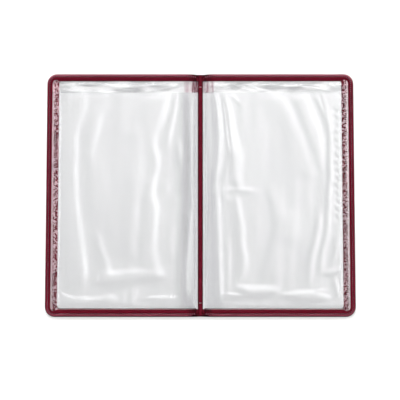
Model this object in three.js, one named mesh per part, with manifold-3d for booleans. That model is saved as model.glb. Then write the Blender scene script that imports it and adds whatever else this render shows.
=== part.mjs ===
// A two-pocket menu cover, lying open flat: clear vinyl pockets in a sewn leatherette binding.
// Millimetres. X runs across the open cover, Y up its pages, Z up from the table.
// The origin is under the middle of the spine, on the table.
import * as THREE from "three";
import { mergeVertices } from "three/addons/utils/BufferGeometryUtils.js";
import Module from "manifold-3d";

const wasm = await Module();
wasm.setup();

// The menu that a pocket holds, a US legal sheet
const INSERT_WIDTH = 215.9;
const INSERT_HEIGHT = 355.6;
const INSERT_PLAY = 1.5; // between the sheet and the seams beside it

// Materials' thicknesses
const TAPE_THICKNESS = 0.9; // leatherette binding tape, one layer
const BORDER_THICKNESS = 0.8; // leatherette border behind the clear sheets
const VINYL_THICKNESS = 0.3; // one clear sheet

// The edge binding, a tape folded round the leaf's three outer sides
const BINDING_WIDTH = 8;
const BINDING_SEAM_INSET = 4; // outer edge to the stitch row
const OUTER_CORNER_RADIUS = 15;
const TOP_ALLOWANCE = 15.4; // outer top edge down to a loaded menu's top edge
const TUCK_CLEARANCE = 0.3; // from what the tape holds to the tape's fold

// The border behind the clear sheets: how wide it is from the leaf's outer edge
const BORDER_SIDE_WIDTH = 18.3;
const BORDER_TOP_WIDTH = 11;
const BORDER_BOTTOM_WIDTH = 13.2;
const BORDER_SEAM_INSET = 13.2; // outer edge to the stitch row that closes the pocket's side
const BORDER_SEAM_TOP_GAP = 1.2; // top binding to the row's first stitch
const BORDER_SEAM_BOTTOM_GAP = 10.5; // bottom binding to the row's last stitch
const WINDOW_TOP_RADIUS = 3;
const WINDOW_BOTTOM_RADIUS = 5;

// The pocket's front sheet stops short of the top, where the menu goes in
const MOUTH_DROP = 28.3; // outer top edge to the mouth
const POCKET_LIFT = 0.7; // how far the front sheet stands off the back sheet
const LIFT_RAMP = 4.6; // how far the front sheet takes to rise beside the border
const SPINE_RAMP_START = 3; // crease to where the front sheet starts to rise
const SPINE_RAMP = 9;

// Stitching
const THREAD_WIDTH = 0.7;
const THREAD_HEIGHT = 0.38;
const GROOVE_WIDTH = 1.2; // the thread pulls the tape down into a groove
const GROOVE_DEPTH = 0.45;

// The spine: a padded front strip and a back strip over the sheets' welded margins
const SPINE_STRIP_WIDTH = 7.8;
const SPINE_FRONT_BULGE = 1.9;
const STRIP_END_INSET = 1.4; // leaf's outer top or bottom edge to the strip's end
const CREASE_CLEARANCE = 0.5; // spine strip to the crease line
const FILM_CREASE_GAP = 0.4; // leaf's sheets to the crease line
const FOLD_CLEARANCE = 0.35; // between the leaf's tape and the spine strip when the cover is shut
const END_TAPE_CLEARANCE = 0.15; // between the leaf's tape and the spine's own tape when shut
const STRIP_NOTCH_CLEARANCE = 0.3; // spine strip's step to the end of the tape below it
const STRIP_EDGE_CHAMFER = 0.4;
const TACK_LENGTH = 3.6; // bar tack across the strip, near each end
const TACK_WIDTH = 1.1;
const TACK_HEIGHT = 0.45;
const TACK_GROOVE_DEPTH = 0.35;
const TACK_GROOVE_CLEARANCE = 0.15;
const TACK_END_DISTANCE = 20.6; // leaf's outer top or bottom edge to the tack

// Roundness
const CORNER_SEGMENTS = 8;
const FOLD_SEGMENTS = 6;
const DOME_SEGMENTS = 12;

// Heights of the leaf's layers above the table
const borderZ = TAPE_THICKNESS;
const backSheetZ = borderZ + BORDER_THICKNESS;
const frontSheetZ = backSheetZ + VINYL_THICKNESS;
const sheetTopZ = frontSheetZ + VINYL_THICKNESS;
const bindingTopZ = sheetTopZ + TAPE_THICKNESS;

// The cover's outline, from the menu and the allowances round it
const creaseX = SPINE_STRIP_WIDTH / 2 + CREASE_CLEARANCE;
const halfWidth = creaseX + INSERT_PLAY + INSERT_WIDTH + BORDER_SEAM_INSET;
const halfHeight = (BINDING_SEAM_INSET + INSERT_HEIGHT + TOP_ALLOWANCE) / 2;
const tuck = TAPE_THICKNESS + TUCK_CLEARANCE; // outer edge to what the tape holds
const mouthY = halfHeight - MOUTH_DROP;

// The sheets bend on the crease line, at their middle height.
// When the cover shuts, the strip stands up beside the leaf's tape, so the tape stops short of its bulge.
const creaseZ = frontSheetZ;
const tapeRise = bindingTopZ - creaseZ;
const bulgeShare = 1 - (tapeRise - CREASE_CLEARANCE) / (SPINE_STRIP_WIDTH / 2);
const bulgeBesideTape = VINYL_THICKNESS + SPINE_FRONT_BULGE * Math.sqrt(Math.max(0, 1 - bulgeShare ** 2));
const leafTapeX = creaseX + bulgeBesideTape + FOLD_CLEARANCE;
const spineTapeX = creaseX - tapeRise - END_TAPE_CLEARANCE;

const leatherette = new THREE.MeshStandardMaterial({ color: 0x651a28, roughness: 0.45, metalness: 0 });
const borderLeatherette = new THREE.MeshStandardMaterial({ color: 0x7a3044, roughness: 0.4, metalness: 0 });
const clearVinyl = new THREE.MeshStandardMaterial({
  color: 0xf2f4f6,
  roughness: 0.08,
  metalness: 0,
  transparent: true,
  opacity: 0.3,
});
const threadFibre = new THREE.MeshStandardMaterial({ color: 0x8a3a4c, roughness: 0.6, metalness: 0 });

// Booleans
function toSolid(geometry) {
  const bare = new THREE.BufferGeometry().setAttribute("position", geometry.getAttribute("position"));
  bare.setIndex(geometry.index);
  const merged = mergeVertices(bare, 1e-4);
  return new wasm.Manifold(
    new wasm.Mesh({
      numProp: 3,
      vertProperties: new Float32Array(merged.attributes.position.array),
      triVerts: new Uint32Array(merged.index.array),
    }),
  );
}

function toGeometry(solid) {
  const mesh = solid.getMesh();
  const geometry = new THREE.BufferGeometry();
  geometry.setAttribute("position", new THREE.BufferAttribute(mesh.vertProperties, 3));
  geometry.setIndex(new THREE.BufferAttribute(mesh.triVerts, 1));
  geometry.computeVertexNormals();
  return geometry;
}

function block(x0, x1, y0, y1, z0, z1) {
  const box = new THREE.BoxGeometry(x1 - x0, y1 - y0, z1 - z0);
  return box.translate((x0 + x1) / 2, (y0 + y1) / 2, (z0 + z1) / 2);
}

function slab(shape, z, thickness) {
  const plate = new THREE.ExtrudeGeometry(shape, {
    depth: thickness,
    bevelEnabled: false,
    curveSegments: CORNER_SEGMENTS,
  });
  return plate.translate(0, 0, z);
}

function named(name, geometry, material) {
  const mesh = new THREE.Mesh(geometry, material);
  mesh.name = name;
  return mesh;
}

// Sweeping a section round the leaf's edge.
// A station is a point with the direction inwards from the edge; a section's x is measured inwards.
function sweep(section, stations) {
  const count = section.length;
  const positions = stations.flatMap((s) =>
    section.flatMap((p) => [s.x + s.inX * p.x, s.y + s.inY * p.x, p.y]),
  );
  const index = [];
  for (let i = 0; i + 1 < stations.length; i++)
    for (let j = 0; j < count; j++) {
      const here = i * count + j;
      const next = i * count + ((j + 1) % count);
      index.push(here, here + count, next, next, here + count, next + count);
    }
  const last = (stations.length - 1) * count;
  for (const [a, b, c] of THREE.ShapeUtils.triangulateShape(section, []))
    index.push(a, b, c, last + c, last + b, last + a);
  const geometry = new THREE.BufferGeometry();
  geometry.setAttribute("position", new THREE.Float32BufferAttribute(positions, 3));
  geometry.setIndex(index);
  geometry.computeVertexNormals();
  return geometry;
}

// Round the right leaf: from the spine along the top, down the side and back along the bottom
function edgeStations(startX) {
  const centreX = halfWidth - OUTER_CORNER_RADIUS;
  const centreY = halfHeight - OUTER_CORNER_RADIUS;
  const corner = (yCentre, fromAngle) =>
    Array.from({ length: CORNER_SEGMENTS + 1 }, (_, i) => {
      const angle = fromAngle - (i / CORNER_SEGMENTS) * (Math.PI / 2);
      return {
        x: centreX + OUTER_CORNER_RADIUS * Math.cos(angle),
        y: yCentre + OUTER_CORNER_RADIUS * Math.sin(angle),
        inX: -Math.cos(angle),
        inY: -Math.sin(angle),
      };
    });
  return [
    { x: startX, y: halfHeight, inX: 0, inY: -1 },
    ...corner(centreY, Math.PI / 2),
    ...corner(-centreY, 0),
    { x: startX, y: -halfHeight, inX: 0, inY: 1 },
  ];
}

// The tape's section: a flap below, a rounded fold at the edge and a flap above.
// grooveInset, where given, is how far in the stitch row's groove runs.
function tapeSection(bottomZ, topZ, grooveInset) {
  const foldRadius = (topZ - bottomZ) / 2;
  const grooveStart = grooveInset - GROOVE_WIDTH / 2;
  const grooveEnd = grooveInset + GROOVE_WIDTH / 2;
  const outline = new THREE.Path();
  outline.moveTo(BINDING_WIDTH, bottomZ + TAPE_THICKNESS);
  outline.lineTo(TAPE_THICKNESS, bottomZ + TAPE_THICKNESS);
  outline.lineTo(TAPE_THICKNESS, topZ - TAPE_THICKNESS);
  outline.lineTo(BINDING_WIDTH, topZ - TAPE_THICKNESS);
  outline.lineTo(BINDING_WIDTH, topZ);
  if (grooveInset) {
    outline.lineTo(grooveEnd, topZ);
    outline.lineTo(grooveEnd, topZ - GROOVE_DEPTH);
    outline.lineTo(grooveStart, topZ - GROOVE_DEPTH);
    outline.lineTo(grooveStart, topZ);
  }
  outline.absarc(foldRadius, bottomZ + foldRadius, foldRadius, Math.PI / 2, (3 * Math.PI) / 2, false);
  if (grooveInset) {
    outline.lineTo(grooveStart, bottomZ);
    outline.lineTo(grooveStart, bottomZ + GROOVE_DEPTH);
    outline.lineTo(grooveEnd, bottomZ + GROOVE_DEPTH);
    outline.lineTo(grooveEnd, bottomZ);
  }
  outline.lineTo(BINDING_WIDTH, bottomZ);
  return outline.getPoints(FOLD_SEGMENTS / 2);
}

// A thread's section, flat where it lies on what it sews
function threadSection(inset, seatZ, upwards) {
  const side = upwards ? 1 : -1;
  const shoulder = seatZ + side * THREAD_HEIGHT * 0.6;
  const crown = seatZ + side * THREAD_HEIGHT;
  const points = [
    new THREE.Vector2(inset - THREAD_WIDTH / 2, seatZ),
    new THREE.Vector2(inset + THREAD_WIDTH / 2, seatZ),
    new THREE.Vector2(inset + THREAD_WIDTH / 2, shoulder),
    new THREE.Vector2(inset, crown),
    new THREE.Vector2(inset - THREAD_WIDTH / 2, shoulder),
  ];
  return upwards ? points : points.reverse();
}

// Plan outline of a sheet held in the tape: square at the spine, round at the outer corners
function sheetOutline(innerX, topY) {
  const outerX = halfWidth - tuck;
  const bottomY = -halfHeight + tuck;
  const radius = OUTER_CORNER_RADIUS - tuck;
  const shape = new THREE.Shape();
  shape.moveTo(innerX, bottomY);
  shape.lineTo(outerX - radius, bottomY);
  shape.absarc(outerX - radius, bottomY + radius, radius, -Math.PI / 2, 0, false);
  if (topY > halfHeight - OUTER_CORNER_RADIUS) {
    shape.lineTo(outerX, topY - radius);
    shape.absarc(outerX - radius, topY - radius, radius, 0, Math.PI / 2, false);
  } else {
    shape.lineTo(outerX, topY);
  }
  shape.lineTo(innerX, topY);
  return shape;
}

function backSheet() {
  return slab(sheetOutline(creaseX + FILM_CREASE_GAP, halfHeight - tuck), backSheetZ, VINYL_THICKNESS);
}

// The front sheet rises off the back sheet inside its seams, which is the room for the menu
function frontSheet() {
  const innerX = creaseX + FILM_CREASE_GAP;
  const riseX = creaseX + SPINE_RAMP_START;
  const fallX = halfWidth - BORDER_SIDE_WIDTH;
  const riseY = -halfHeight + BORDER_BOTTOM_WIDTH;
  const xs = [innerX, riseX, riseX + SPINE_RAMP, fallX - LIFT_RAMP, fallX, halfWidth];
  const ys = [-halfHeight, riseY, riseY + LIFT_RAMP, mouthY];
  const raisedX = (i) => (i === 2 || i === 3 ? 1 : 0);
  const raisedY = (j) => (j >= 2 ? 1 : 0);
  const columns = xs.length;
  const layer = columns * ys.length;
  const positions = [];
  for (const z of [frontSheetZ, sheetTopZ])
    ys.forEach((y, j) => xs.forEach((x, i) => positions.push(x, y, z + POCKET_LIFT * raisedX(i) * raisedY(j))));
  const index = [];
  const quad = (a, b, c, d) => index.push(a, b, c, a, c, d);
  for (let j = 0; j + 1 < ys.length; j++)
    for (let i = 0; i + 1 < columns; i++) {
      const a = j * columns + i;
      quad(a, a + columns, a + columns + 1, a + 1);
      quad(layer + a, layer + a + 1, layer + a + columns + 1, layer + a + columns);
    }
  const wall = (a, b) => quad(a, b, b + layer, a + layer);
  for (let i = 0; i + 1 < columns; i++) {
    wall(i, i + 1);
    const top = (ys.length - 1) * columns + i;
    wall(top + 1, top);
  }
  for (let j = 0; j + 1 < ys.length; j++) {
    wall((j + 1) * columns, j * columns);
    const right = j * columns + columns - 1;
    wall(right, right + columns);
  }
  const formed = new THREE.BufferGeometry();
  formed.setAttribute("position", new THREE.Float32BufferAttribute(positions, 3));
  formed.setIndex(index);
  const trim = slab(sheetOutline(innerX, mouthY), 0, bindingTopZ + POCKET_LIFT);
  return toGeometry(toSolid(formed).intersect(toSolid(trim)));
}

// The border shows through the clear sheets as a frame, open towards the spine
function backBorder() {
  const innerX = leafTapeX;
  const outerX = halfWidth - tuck;
  const outerY = halfHeight - tuck;
  const outerRadius = OUTER_CORNER_RADIUS - tuck;
  const windowX = halfWidth - BORDER_SIDE_WIDTH;
  const windowTop = halfHeight - BORDER_TOP_WIDTH;
  const windowBottom = -halfHeight + BORDER_BOTTOM_WIDTH;
  const shape = new THREE.Shape();
  shape.moveTo(innerX, -outerY);
  shape.lineTo(outerX - outerRadius, -outerY);
  shape.absarc(outerX - outerRadius, -outerY + outerRadius, outerRadius, -Math.PI / 2, 0, false);
  shape.lineTo(outerX, outerY - outerRadius);
  shape.absarc(outerX - outerRadius, outerY - outerRadius, outerRadius, 0, Math.PI / 2, false);
  shape.lineTo(innerX, outerY);
  shape.lineTo(innerX, windowTop);
  shape.lineTo(windowX - WINDOW_TOP_RADIUS, windowTop);
  shape.absarc(windowX - WINDOW_TOP_RADIUS, windowTop - WINDOW_TOP_RADIUS, WINDOW_TOP_RADIUS, Math.PI / 2, 0, true);
  shape.lineTo(windowX, windowBottom + WINDOW_BOTTOM_RADIUS);
  shape.absarc(
    windowX - WINDOW_BOTTOM_RADIUS,
    windowBottom + WINDOW_BOTTOM_RADIUS,
    WINDOW_BOTTOM_RADIUS,
    0,
    -Math.PI / 2,
    true,
  );
  shape.lineTo(innerX, windowBottom);
  return slab(shape, borderZ, BORDER_THICKNESS);
}

function edgeThread(seatZ, upwards) {
  return sweep(threadSection(BINDING_SEAM_INSET, seatZ, upwards), edgeStations(leafTapeX));
}

// The second stitch row, down the outer side through sheets and border
function borderThread(seatZ, upwards) {
  const fromEdge = BINDING_WIDTH;
  return sweep(threadSection(BORDER_SEAM_INSET, seatZ, upwards), [
    { x: halfWidth, y: halfHeight - fromEdge - BORDER_SEAM_TOP_GAP, inX: -1, inY: 0 },
    { x: halfWidth, y: -halfHeight + fromEdge + BORDER_SEAM_BOTTOM_GAP, inX: -1, inY: 0 },
  ]);
}

// One leaf, built as the right one; the left one is its mirror image
function leaf(side) {
  const group = new THREE.Group();
  group.add(
    named(`${side}_back_border`, backBorder(), borderLeatherette),
    named(`${side}_back_sheet`, backSheet(), clearVinyl),
    named(`${side}_front_sheet`, frontSheet(), clearVinyl),
    named(
      `${side}_edge_binding`,
      sweep(tapeSection(0, bindingTopZ, BINDING_SEAM_INSET), edgeStations(leafTapeX)),
      leatherette,
    ),
    named(`${side}_edge_needle_thread`, edgeThread(bindingTopZ - GROOVE_DEPTH, true), threadFibre),
    named(`${side}_edge_bobbin_thread`, edgeThread(GROOVE_DEPTH, false), threadFibre),
    named(`${side}_border_needle_thread`, borderThread(sheetTopZ, true), threadFibre),
    named(`${side}_border_bobbin_thread`, borderThread(borderZ, false), threadFibre),
  );
  return group;
}

// The tape crosses the spine's top and bottom ends, under the strips
function spineEndTape(end) {
  const bottomZ = backSheetZ - TAPE_THICKNESS;
  const from = { x: -end * spineTapeX, y: end * halfHeight, inX: 0, inY: -end };
  const to = { x: end * spineTapeX, y: end * halfHeight, inX: 0, inY: -end };
  return sweep(tapeSection(bottomZ, bindingTopZ), [from, to]);
}

function spineCore() {
  const half = SPINE_STRIP_WIDTH / 2;
  return block(-half, half, -halfHeight + tuck, halfHeight - tuck, backSheetZ, sheetTopZ);
}

// A strip's section, drawn across the spine, carried along it
function alongSpine(shape) {
  const length = 2 * (halfHeight - STRIP_END_INSET);
  const bar = new THREE.ExtrudeGeometry(shape, { depth: length, bevelEnabled: false, curveSegments: DOME_SEGMENTS });
  return bar.rotateX(Math.PI / 2).translate(0, length / 2, 0);
}

function stripNotches(z0, z1) {
  const reach = SPINE_STRIP_WIDTH;
  const start = halfHeight - BINDING_WIDTH - STRIP_NOTCH_CLEARANCE;
  return [1, -1].map((end) =>
    toSolid(block(-reach, reach, Math.min(end * start, end * halfHeight), Math.max(end * start, end * halfHeight), z0, z1)),
  );
}

function spineFrontStrip() {
  const half = SPINE_STRIP_WIDTH / 2;
  const dome = new THREE.Shape();
  dome.moveTo(-half, sheetTopZ);
  dome.lineTo(half, sheetTopZ);
  dome.absellipse(0, sheetTopZ, half, SPINE_FRONT_BULGE, 0, Math.PI, false, 0);
  let strip = toSolid(alongSpine(dome));
  for (const notch of stripNotches(0, bindingTopZ)) strip = strip.subtract(notch);
  const floor = tackSeatZ();
  for (const end of [1, -1]) {
    const y = end * (halfHeight - TACK_END_DISTANCE);
    const halfGroove = TACK_WIDTH / 2 + TACK_GROOVE_CLEARANCE;
    strip = strip.subtract(toSolid(block(-half, half, y - halfGroove, y + halfGroove, floor, bindingTopZ + half)));
  }
  return toGeometry(strip);
}

function spineBackStrip() {
  const half = SPINE_STRIP_WIDTH / 2;
  const section = new THREE.Shape();
  section.moveTo(-half + STRIP_EDGE_CHAMFER, 0);
  section.lineTo(half - STRIP_EDGE_CHAMFER, 0);
  section.lineTo(half, STRIP_EDGE_CHAMFER);
  section.lineTo(half, backSheetZ);
  section.lineTo(-half, backSheetZ);
  section.lineTo(-half, STRIP_EDGE_CHAMFER);
  let strip = toSolid(alongSpine(section));
  for (const notch of stripNotches(backSheetZ - TAPE_THICKNESS, bindingTopZ)) strip = strip.subtract(notch);
  return toGeometry(strip);
}

function tackSeatZ() {
  return sheetTopZ + SPINE_FRONT_BULGE - TACK_GROOVE_DEPTH;
}

// A bar of close stitches that locks the strip near each end
function spineTack(end) {
  const y = end * (halfHeight - TACK_END_DISTANCE);
  const halfTackLength = TACK_LENGTH / 2;
  const seat = tackSeatZ();
  return block(-halfTackLength, halfTackLength, y - TACK_WIDTH / 2, y + TACK_WIDTH / 2, seat, seat + TACK_HEIGHT);
}

function spine() {
  const group = new THREE.Group();
  group.add(
    named("spine_core", spineCore(), clearVinyl),
    named("spine_front_strip", spineFrontStrip(), leatherette),
    named("spine_back_strip", spineBackStrip(), leatherette),
    named("spine_top_binding", spineEndTape(1), leatherette),
    named("spine_bottom_binding", spineEndTape(-1), leatherette),
    named("spine_top_tack", spineTack(1), threadFibre),
    named("spine_bottom_tack", spineTack(-1), threadFibre),
  );
  return group;
}

const menuCover = new THREE.Group();
const leftLeaf = leaf("left");
leftLeaf.scale.x = -1;
menuCover.add(leftLeaf, leaf("right"), spine());

export default menuCover;
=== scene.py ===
import math
import bpy
import numpy as np
from mathutils import Matrix, Vector


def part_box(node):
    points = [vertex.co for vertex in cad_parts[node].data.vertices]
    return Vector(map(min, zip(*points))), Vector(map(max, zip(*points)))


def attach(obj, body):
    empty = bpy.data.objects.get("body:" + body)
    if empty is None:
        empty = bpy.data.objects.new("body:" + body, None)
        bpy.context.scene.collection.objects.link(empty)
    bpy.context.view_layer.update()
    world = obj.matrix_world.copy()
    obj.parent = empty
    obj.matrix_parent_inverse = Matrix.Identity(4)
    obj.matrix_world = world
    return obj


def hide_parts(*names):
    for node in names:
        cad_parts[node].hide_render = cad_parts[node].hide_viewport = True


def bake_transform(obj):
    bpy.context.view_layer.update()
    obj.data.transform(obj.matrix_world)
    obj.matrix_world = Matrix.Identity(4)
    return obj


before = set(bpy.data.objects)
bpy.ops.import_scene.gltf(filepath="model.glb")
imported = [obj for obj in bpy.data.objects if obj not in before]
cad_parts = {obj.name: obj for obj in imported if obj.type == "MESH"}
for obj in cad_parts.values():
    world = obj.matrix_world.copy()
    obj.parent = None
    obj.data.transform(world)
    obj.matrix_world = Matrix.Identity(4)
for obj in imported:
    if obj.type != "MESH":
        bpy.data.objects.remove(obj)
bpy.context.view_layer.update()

# Border behind the clear sheets
# A die-cut frame of thin leatherette on the leaf's three outer sides.
# It stiffens the leaf and is sewn through with the sheets that lie on it.
MM = 0.001
HALF_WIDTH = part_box("right_edge_binding")[1].x / MM
HALF_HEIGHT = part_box("right_edge_binding")[1].y / MM
SIDES = {"left": -1, "right": 1}
TUCK = 1.2
OUTER_RADIUS = 15.0
BORDER_Z = (0.92, 1.68)
WINDOW_X = HALF_WIDTH - 18.3
WINDOW_TOP = HALF_HEIGHT - 11.0
WINDOW_BOTTOM = -HALF_HEIGHT + 13.2
WINDOW_TOP_RADIUS = 3.0
WINDOW_BOTTOM_RADIUS = 5.0
TAPE_END_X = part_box("right_edge_binding")[0].x / MM
BORDER_BURGUNDY = (0.24, 0.008, 0.026, 1.0)
BORDER_DEEP = (0.06, 0.002, 0.008, 1.0)
# Pale pink of the painted reflections and highlight on the border
PAINTED_GLINT = (0.9, 0.56, 0.62, 1.0)
# How far from the outer edge the painted highlight band beside the tape begins, and where it is brightest
HIGHLIGHT_BAND = (11.2, 10.6)


def deselect_all():
    bpy.ops.object.select_all(action="DESELECT")


def pick(piece):
    """Makes the piece the only one that an operator acts on."""
    deselect_all()
    piece.select_set(True)
    bpy.context.view_layer.objects.active = piece


def points_of(piece):
    """The piece's points in millimetres, one row each."""
    points = np.empty(len(piece.data.vertices) * 3)
    piece.data.vertices.foreach_get("co", points)
    return points.reshape(-1, 3) / MM


def set_points(piece, points):
    piece.data.vertices.foreach_set("co", (points * MM).astype(np.float32).ravel())
    piece.data.update()


def apply_modifier(piece, kind, **values):
    modifier = piece.modifiers.new(kind.title(), kind)
    for name, value in values.items():
        setattr(modifier, name, value)
    pick(piece)
    bpy.ops.object.modifier_apply(modifier=modifier.name)


def block(name, x0, x1, y0, y1, z0, z1):
    deselect_all()
    centre = ((x0 + x1) / 2 * MM, (y0 + y1) / 2 * MM, (z0 + z1) / 2 * MM)
    bpy.ops.mesh.primitive_cube_add(size=1, location=centre)
    piece = bpy.context.object
    piece.name = piece.data.name = name
    piece.scale = ((x1 - x0) * MM, (y1 - y0) * MM, (z1 - z0) * MM)
    bpy.ops.object.transform_apply(location=True, rotation=True, scale=True)
    return piece


def round_upright_edge(piece, x, y, radius):
    """Rounds the upright edge at that place with an arc."""
    bpy.ops.object.mode_set(mode="EDIT")
    bpy.ops.mesh.select_mode(type="EDGE")
    bpy.ops.mesh.select_all(action="DESELECT")
    bpy.ops.object.mode_set(mode="OBJECT")
    points = piece.data.vertices
    for edge in piece.data.edges:
        ends = [points[i].co / MM for i in edge.vertices]
        edge.select = all(abs(p.x - x) < 0.01 and abs(p.y - y) < 0.01 for p in ends)
    bpy.ops.object.mode_set(mode="EDIT")
    bpy.ops.mesh.bevel(offset=radius * MM, segments=14, affect="EDGES")
    bpy.ops.object.mode_set(mode="OBJECT")


def edit_faces(piece, operator, **values):
    """Runs an edit operator on all of the piece's faces."""
    pick(piece)
    bpy.ops.object.mode_set(mode="EDIT")
    bpy.ops.mesh.select_all(action="SELECT")
    operator(**values)
    bpy.ops.object.mode_set(mode="OBJECT")


def mirrored(piece, name):
    """A copy for the left leaf, with a mesh of its own."""
    twin = piece.copy()
    twin.data = piece.data.copy()
    twin.name = twin.data.name = name
    bpy.context.scene.collection.objects.link(twin)
    set_points(twin, points_of(twin) * (-1, 1, 1))
    edit_faces(twin, bpy.ops.mesh.flip_normals)
    return twin


def smooth(piece, angle=40):
    pick(piece)
    bpy.ops.object.shade_smooth_by_angle(angle=math.radians(angle))


def feed(value, socket):
    """Links another node's output to the socket, or else sets the socket to the value."""
    if isinstance(value, bpy.types.NodeSocket):
        value.id_data.links.new(value, socket)
    else:
        socket.default_value = value


def add_node(tree, kind, **values):
    """A shader node. A value goes to the socket of that name, or else to the setting."""
    node = tree.nodes.new("ShaderNode" + kind)
    for name, value in values.items():
        if name in node.inputs:
            feed(value, node.inputs[name])
        else:
            setattr(node, name, value)
    return node


def maths(operation, *values, clamp=False):
    """The result of a Math node on outputs or numbers."""
    tree = next(value.id_data for value in values if isinstance(value, bpy.types.NodeSocket))
    node = add_node(tree, "Math", operation=operation, use_clamp=clamp)
    for value, socket in zip(values, node.inputs):
        feed(value, socket)
    return node.outputs[0]


def ranged(value, low, high, to_low=0.0, to_high=1.0, way="SMOOTHSTEP"):
    """The value moved from one range to another, eased at both ends or LINEAR."""
    node = add_node(value.id_data, "MapRange", interpolation_type=way, Value=value)
    for name, number in zip(("From Min", "From Max", "To Min", "To Max"), (low, high, to_low, to_high)):
        feed(number, node.inputs[name])
    return node.outputs["Result"]


def mixed(share, first, second):
    """Two colours, mixed by a share from 0 to 1."""
    node = add_node(share.id_data, "Mix", data_type="RGBA")
    for value, number in ((share, 0), (first, 6), (second, 7)):
        feed(value, node.inputs[number])
    return node.outputs[2]


def noise(place, scale, detail, roughness=0.5):
    tree = place.id_data
    node = add_node(tree, "TexNoise", Vector=place, Scale=scale, Detail=detail, Roughness=roughness)
    return node.outputs["Fac"]


def shaded(colour, share):
    """The colour taken down to that share."""
    return tuple(share * c for c in colour[:3]) + (1.0,)


def new_material(name):
    """A material, its node tree and its Principled shader."""
    material = bpy.data.materials.new(name)
    material.use_nodes = True
    tree = material.node_tree
    return material, tree, tree.nodes["Principled BSDF"]


def grained_leatherette(name, colour, deep_colour, roughness, specular, grain_height, painted_light=None):
    """Embossed, varnished leatherette: small pebbles with darker valleys, slow changes of tone, and a near
    black painted shade where a point attribute gives it: in creases, beside the spine and on the padded
    strip's sides. A function that paints light and shade on it can be given."""
    material, tree, shader = new_material(name)
    shader.inputs["Specular IOR Level"].default_value = specular
    place = add_node(tree, "TexCoord").outputs
    at = place["Object"]
    pebbles = add_node(tree, "TexVoronoi", feature="SMOOTH_F1", Vector=at, Scale=1100.0, Smoothness=0.6)
    cloud = noise(at, 55.0, 3.0)
    grain = maths("MULTIPLY_ADD", noise(at, 380.0, 5.0, 0.62), 1.3, pebbles.outputs["Distance"])
    valleys = ranged(grain, 0.75, 1.35, -0.1, 0.45)
    shade = maths("MULTIPLY_ADD", cloud, 0.25, valleys, clamp=True)
    paint = mixed(shade, colour, deep_colour)
    if painted_light:
        paint = painted_light(paint, place)
    # Painted shade: near black where the point attribute says so, in creases, beside the spine and on the
    # strip's sides
    folds = add_node(tree, "Attribute", attribute_name="painted_shade").outputs["Fac"]
    feed(mixed(folds, paint, shaded(deep_colour, 0.45)), shader.inputs["Base Color"])
    feed(ranged(cloud, 0.3, 0.7, roughness - 0.08, roughness + 0.1), shader.inputs["Roughness"])
    bump = add_node(tree, "Bump", invert=True, Strength=0.6, Distance=grain_height * MM, Height=grain)
    feed(bump.outputs["Normal"], shader.inputs["Normal"])
    return material


def painted_border_glints(paint, place):
    """Paints pale specks of painted reflection on the border, where the film lying on it glints, a little
    fewer low down, and a painted highlight all along a narrow band beside the tape."""
    spot = add_node(paint.id_data, "SeparateXYZ", Vector=place["Object"]).outputs
    at_side = maths("ABSOLUTE", spot["X"])
    specks = ranged(noise(place["Object"], 400.0, 2.0), 0.495, 0.535)
    window_edge = (WINDOW_X - 1) * MM
    # Pale specks of painted reflection from the film, only on the border
    glints = maths("MULTIPLY", ranged(at_side, window_edge, window_edge + 0.002), specks)
    glints = maths("MULTIPLY", glints, ranged(spot["Y"], -0.16, 0.1, 0.85, 1.0))
    band_starts, band_full = ((HALF_WIDTH - inset) * MM for inset in HIGHLIGHT_BAND)
    # Painted highlight in a narrow band beside the tape
    beside_tape = ranged(at_side, band_starts, band_full, 0.0, 0.8)
    return mixed(maths("MAXIMUM", glints, beside_tape), paint, PAINTED_GLINT)


def dress(piece, material):
    piece.data.materials.clear()
    piece.data.materials.append(material)


def set_up(piece, material, body, node):
    """Dresses the piece, which rides on that body in place of that node."""
    dress(piece, material)
    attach(piece, body)
    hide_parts(node)


def set_up_pair(right_piece, material, node):
    """Copies the right leaf's piece for the left leaf, and sets up both."""
    left_piece = mirrored(right_piece, right_piece.name.replace("right", "left"))
    for side, piece in {"left": left_piece, "right": right_piece}.items():
        set_up(piece, material, side + "_leaf", f"{side}_{node}")


border_leatherette = grained_leatherette(
    "border_leatherette", BORDER_BURGUNDY, BORDER_DEEP, 0.45, 0.04, 0.12, painted_border_glints
)
right_border = block(
    "right_border", TAPE_END_X, HALF_WIDTH - TUCK, -HALF_HEIGHT + TUCK, HALF_HEIGHT - TUCK, *BORDER_Z
)
for corner_y in (HALF_HEIGHT - TUCK, -HALF_HEIGHT + TUCK):
    round_upright_edge(right_border, HALF_WIDTH - TUCK, corner_y, OUTER_RADIUS - TUCK)
window_punch = block("window_punch", -5, WINDOW_X, WINDOW_BOTTOM, WINDOW_TOP, -5, 8)
round_upright_edge(window_punch, WINDOW_X, WINDOW_TOP, WINDOW_TOP_RADIUS)
round_upright_edge(window_punch, WINDOW_X, WINDOW_BOTTOM, WINDOW_BOTTOM_RADIUS)
apply_modifier(right_border, "BOOLEAN", object=window_punch, operation="DIFFERENCE", solver="EXACT")
bpy.data.objects.remove(window_punch)
apply_modifier(right_border, "BEVEL", width=0.15 * MM, segments=2, limit_method="ANGLE")
smooth(right_border)
set_up_pair(right_border, border_leatherette, "back_border")

# Back sheets
# One full sheet of clear vinyl per leaf, welded to the spine and sewn under the binding.
# The strip above the pocket's mouth lies free, so it waves where the menu is pushed in.
WELD_X = 7.6
SHEET_THICKNESS = 0.28
BACK_SHEET_Z = 1.72
FRONT_SHEET_Z = 2.02
MOUTH_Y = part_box("right_front_sheet")[1].y / MM
SHEET_EDGE_X = HALF_WIDTH - TUCK
SHEET_EDGE_Y = HALF_HEIGHT - TUCK
MILKY = (0.86, 0.86, 0.87, 1.0)
BURGUNDY_TINT = (0.44, 0.17, 0.24, 1.0)
GREY_SMEAR = (0.79, 0.792, 0.798, 1.0)
FILM_ROUGHNESS = 0.28
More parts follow.
